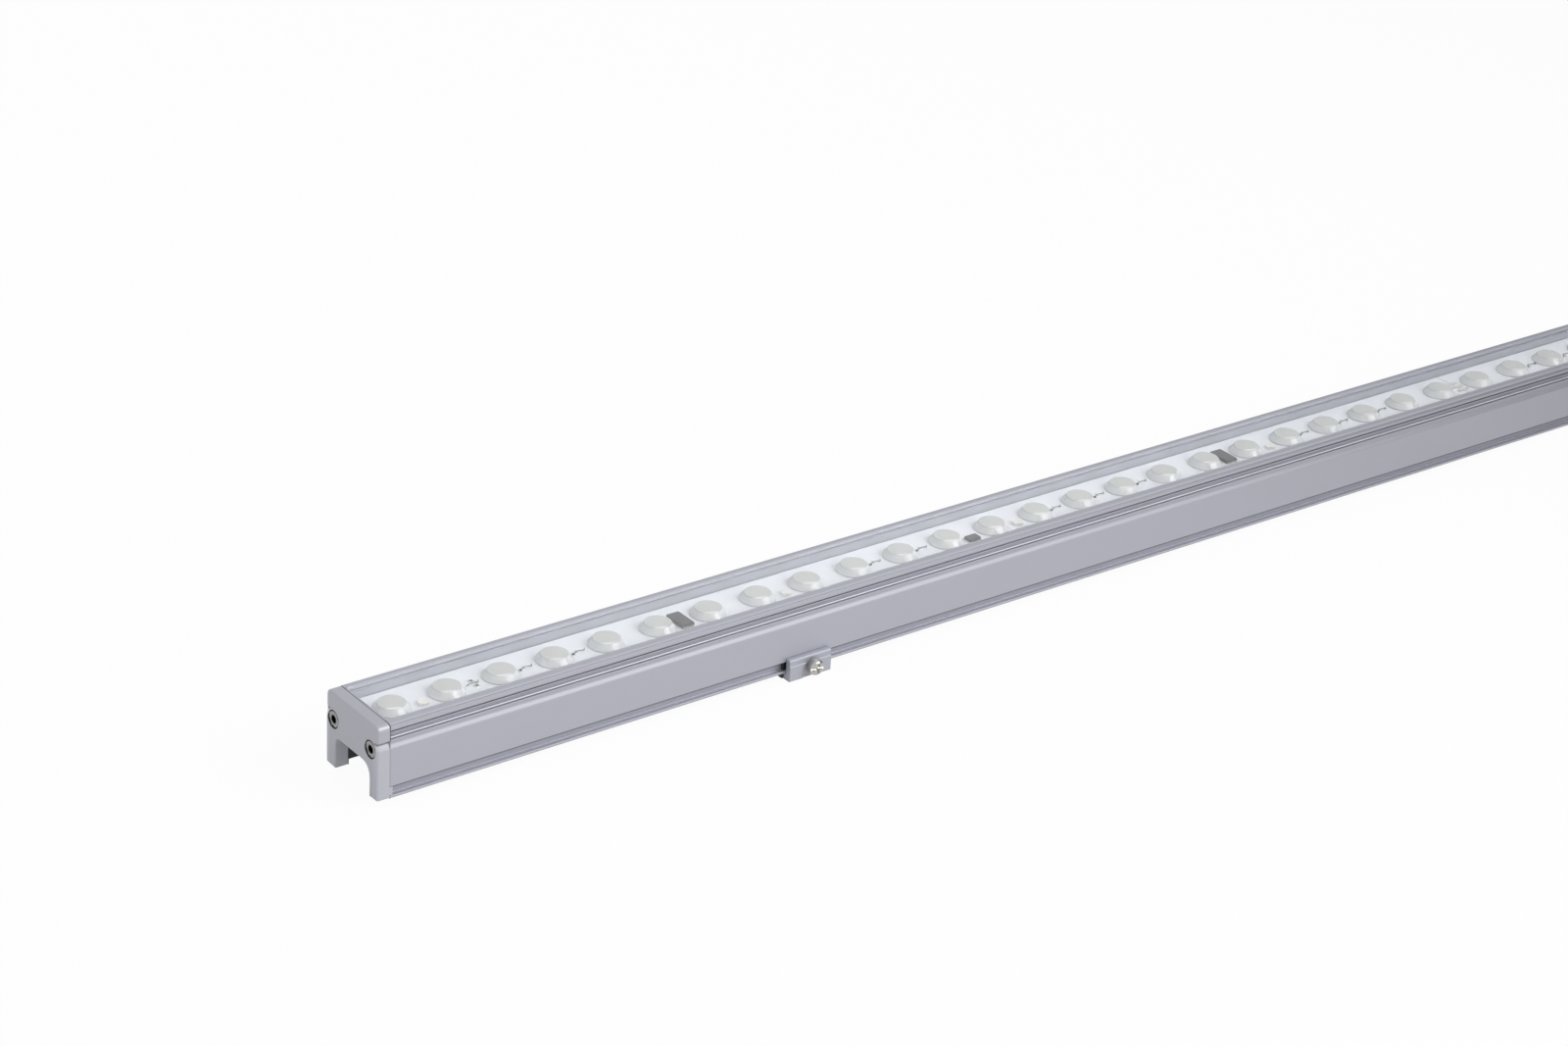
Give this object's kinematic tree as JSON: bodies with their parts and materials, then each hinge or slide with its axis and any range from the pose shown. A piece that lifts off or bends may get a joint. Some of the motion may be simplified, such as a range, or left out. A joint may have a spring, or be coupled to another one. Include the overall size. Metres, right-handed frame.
{
  "type": "wall washer light",
  "caption": "Slim straight wall washer light with a glass top over lensed light chips, end caps and sliding wall clips.",
  "frame": {"origin": "centre of the four wall screw holes, on the wall face of the clips", "axes": "+X along the lamp, +Y across it, away from the jaws and clamp screws, and +Z away from the wall, the way the light leaves"},
  "size_m": [1, 0.0388, 0.029],
  "materials": {
    "anodised_aluminium": "satin anodised, fine lengthwise extrusion lines",
    "cap_metal": "fine matt coat on a die casting",
    "jaw_metal": "satin anodised, cut from an extrusion",
    "cover_glass": "polished clear",
    "clear_sealant": "smooth silicone",
    "black_rubber": "matt",
    "stainless_steel": "polished",
    "white_board": "satin solder mask",
    "grey_pad": "matt",
    "light_chip": "smooth phosphor",
    "clear_lens": "polished clear",
    "black_chip": "fine matt moulding",
    "tinned_link": "tinned",
    "wire_insulation": "smooth insulation",
    "black_plastic": "fine matt moulding"
  },
  "bodies": {
    "lamp": {"housing": "anodised_aluminium", "end_cap_left": "cap_metal", "end_cap_right": "cap_metal", "cover_glass": "cover_glass", "glass_seal": "clear_sealant", "cap_gasket_left": "black_rubber", "cap_gasket_right": "black_rubber", "inlet_seal_left": "black_rubber", "inlet_seal_right": "black_rubber", "gland_ring_left": "black_rubber", "gland_ring_right": "black_rubber", "cap_screws_left": "stainless_steel", "cap_screws_right": "stainless_steel", "board_screws_left": "stainless_steel", "board_screws_right": "stainless_steel", "inlet_screws_left": "stainless_steel", "inlet_screws_right": "stainless_steel", "circuit_board_left": "white_board", "circuit_board_right": "white_board", "heat_pad_left": "grey_pad", "heat_pad_right": "grey_pad", "light_chips_left": "light_chip", "light_chips_right": "light_chip", "lens_row_1": "clear_lens", "lens_row_2": "clear_lens", "lens_row_3": "clear_lens", "lens_row_4": "clear_lens", "lens_row_5": "clear_lens", "lens_row_6": "clear_lens", "lens_row_7": "clear_lens", "lens_row_8": "clear_lens", "driver_chips_left": "black_chip", "driver_chips_right": "black_chip", "regulator_left": "black_chip", "regulator_right": "black_chip", "resistors_left": "black_chip", "resistors_right": "black_chip", "board_link": "tinned_link", "power_leads_left": "wire_insulation", "power_leads_right": "wire_insulation", "cable_inlet_left": "black_plastic", "cable_inlet_right": "black_plastic", "gland_nut_left": "black_plastic", "gland_nut_right": "black_plastic"},
    "clip_left": {"clip_base_left": "black_plastic", "clip_jaw_left": "jaw_metal"},
    "pad_left": {"clamp_pad_left": "black_plastic"},
    "screw_left": {"clamp_screw_left": "stainless_steel"},
    "clip_right": {"clip_base_right": "black_plastic", "clip_jaw_right": "jaw_metal"},
    "pad_right": {"clamp_pad_right": "black_plastic"},
    "screw_right": {"clamp_screw_right": "stainless_steel"}
  },
  "joints": [
    {"name": "clip_left_slide", "type": "slide", "parent": "lamp", "child": "clip_left", "axis": [1, 0, 0], "range_m": [-0.15, 0.31]},
    {"name": "clamp_left_press", "type": "slide", "parent": "clip_left", "child": "pad_left", "axis": [0, -1, 0], "range_m": [0, 0.00075]},
    {"name": "clamp_left_turn", "type": "hinge", "parent": "pad_left", "child": "screw_left", "pos_m": [-0.3293, -0.019, 0.0041], "axis": [0, -1, 0], "range_deg": [0, 540]},
    {"name": "clip_right_slide", "type": "slide", "parent": "lamp", "child": "clip_right", "axis": [1, 0, 0], "range_m": [-0.31, 0.15]},
    {"name": "clamp_right_press", "type": "slide", "parent": "clip_right", "child": "pad_right", "axis": [0, -1, 0], "range_m": [0, 0.00075]},
    {"name": "clamp_right_turn", "type": "hinge", "parent": "pad_right", "child": "screw_right", "pos_m": [0.3293, -0.019, 0.0041], "axis": [0, -1, 0], "range_deg": [0, 540]}
  ],
  "couplings": [
    {"joint": "clamp_left_turn", "follows": "clamp_left_press", "rad_per_m": 12566},
    {"joint": "clamp_right_turn", "follows": "clamp_right_press", "rad_per_m": 12566}
  ]
}
